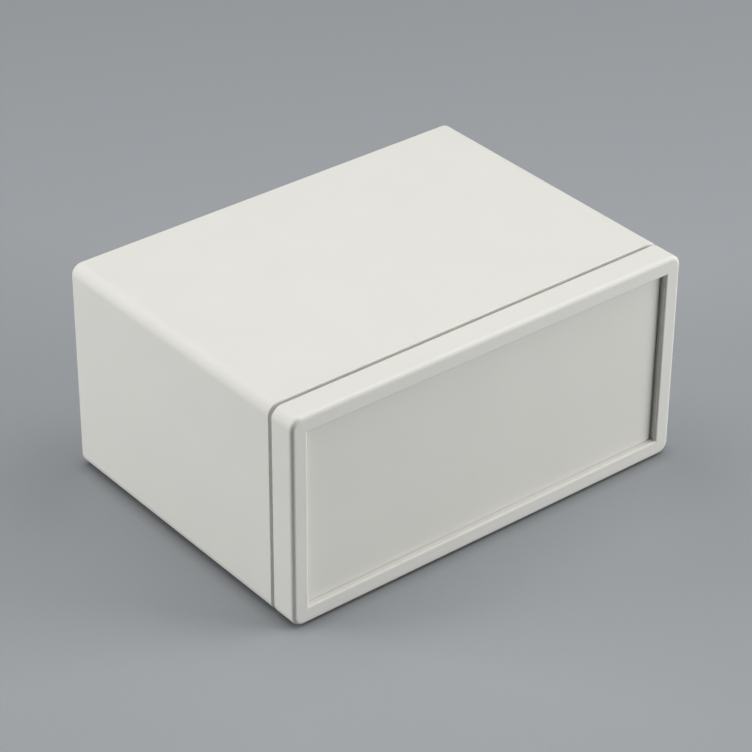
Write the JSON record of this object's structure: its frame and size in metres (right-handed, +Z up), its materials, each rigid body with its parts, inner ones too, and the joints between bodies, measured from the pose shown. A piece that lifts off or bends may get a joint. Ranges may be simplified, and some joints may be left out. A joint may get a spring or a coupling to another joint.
{
  "type": "plastic project box",
  "caption": "Desk-top plastic project box: sleeve housing, shadow-gap front frame with a recessed push-in panel, screwed rear panel, card guides and board bosses inside.",
  "frame": {"origin": "middle of the footprint, on the surface the box stands on", "axes": "+X to the right along the front, +Y from the front panel to the rear panel, +Z up"},
  "size_m": [0.15, 0.11, 0.0725],
  "materials": {
    "case_plastic": "fine satin moulded texture, warm off-white",
    "panel_plastic": "fine satin sheet, warm off-white",
    "zinc_steel": "bright zinc plate",
    "brass": "turned and knurled brass"
  },
  "bodies": {
    "case": {"housing": "case_plastic", "front_frame": "case_plastic", "rear_panel": "panel_plastic", "frame_screw_1": "zinc_steel", "frame_screw_2": "zinc_steel", "frame_screw_3": "zinc_steel", "frame_screw_4": "zinc_steel", "rear_screw_1": "zinc_steel", "rear_screw_2": "zinc_steel", "rear_screw_3": "zinc_steel", "rear_screw_4": "zinc_steel", "frame_insert_1": "brass", "frame_insert_2": "brass", "frame_insert_3": "brass", "frame_insert_4": "brass", "rear_insert_1": "brass", "rear_insert_2": "brass", "rear_insert_3": "brass", "rear_insert_4": "brass", "board_insert_1": "brass", "board_insert_2": "brass", "board_insert_3": "brass", "board_insert_4": "brass"},
    "panel": {"front_panel": "panel_plastic"}
  },
  "joints": [
    {"name": "panel_pull", "type": "slide", "parent": "case", "child": "panel", "axis": [0, -1, 0], "range_m": [0, 0.03]}
  ]
}
